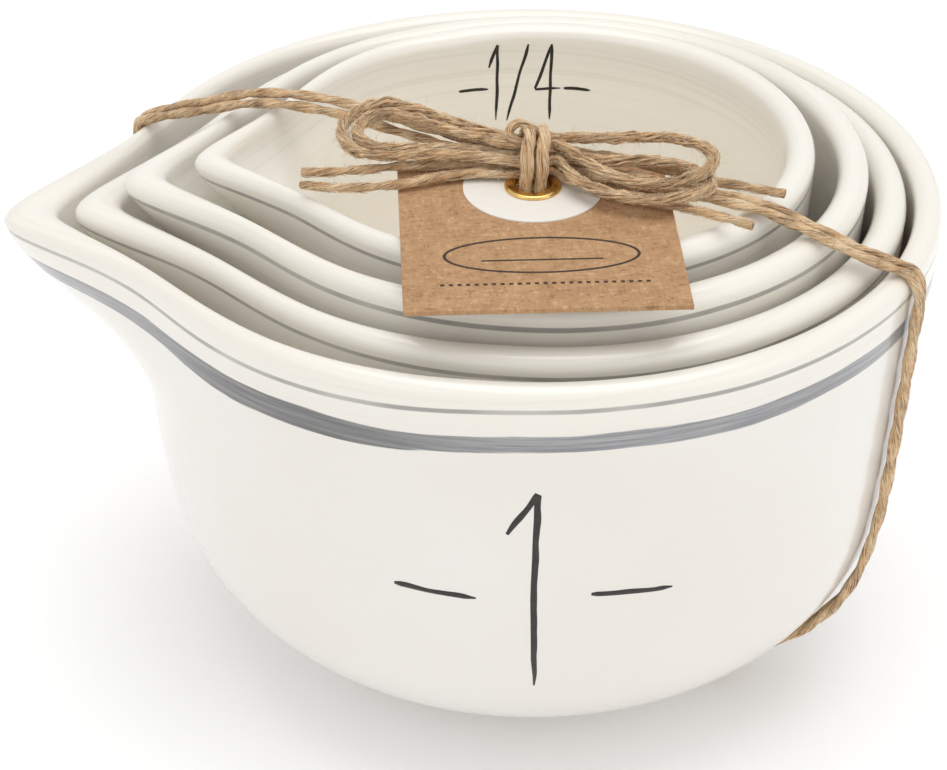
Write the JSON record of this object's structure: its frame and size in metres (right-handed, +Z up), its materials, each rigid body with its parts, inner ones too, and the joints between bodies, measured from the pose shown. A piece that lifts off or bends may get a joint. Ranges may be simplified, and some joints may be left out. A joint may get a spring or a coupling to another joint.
{
  "type": "nested measuring cup set",
  "caption": "Nested set of round ceramic measuring cups, each with a pinched pouring beak, tied together with twine in a bow that holds a square card tag.",
  "frame": {"origin": "midway along the biggest cup's length, from its rim to the tip of its beak, on the surface that it stands on", "axes": "+Z up, the beaks point to -X, and the side that faces the viewer is -Y"},
  "size_m": [0.1102, 0.096, 0.0743],
  "materials": {
    "stoneware": "warm white semi-gloss glaze",
    "twine": "hairy natural jute",
    "tag": "uncoated brown card",
    "patch": "matt white paper",
    "eyelet": "polished"
  },
  "bodies": {
    "full": {"full_cup": "stoneware", "wrap_strand_a": "twine", "wrap_strand_b": "twine"},
    "half": {"half_cup": "stoneware", "rim_twine_half_left": "twine", "rim_twine_half_right": "twine"},
    "third": {"third_cup": "stoneware", "rim_twine_third_left": "twine", "rim_twine_third_right": "twine"},
    "quarter": {"quarter_cup": "stoneware", "top_twine_left": "twine", "top_twine_right": "twine", "bow_knot": "twine", "tag_loop": "twine", "bow_loop_left_a": "twine", "bow_loop_left_b": "twine", "bow_loop_right_a": "twine", "bow_loop_right_b": "twine", "bow_tail_left_a": "twine", "bow_tail_left_b": "twine", "bow_tail_right_a": "twine", "bow_tail_right_b": "twine"},
    "tag": {"tag_card": "tag", "tag_patch_front": "patch", "tag_patch_back": "patch", "eyelet": "eyelet", "eyelet_washer": "eyelet"}
  },
  "joints": [
    {"name": "half_lift", "type": "slide", "parent": "full", "child": "half", "axis": [0, 0, 1], "range_m": [0, 0.0015]},
    {"name": "third_lift", "type": "slide", "parent": "half", "child": "third", "axis": [0, 0, 1], "range_m": [0, 0.0015]},
    {"name": "quarter_lift", "type": "slide", "parent": "third", "child": "quarter", "axis": [0, 0, 1], "range_m": [0, 0.0015]},
    {"name": "tag_swivel", "type": "hinge", "parent": "quarter", "child": "tag", "pos_m": [0.00441, -0.0157, 0.0683], "axis": [-0.0013, -0.0139, 0.9999], "range_deg": [-20, 20]}
  ]
}
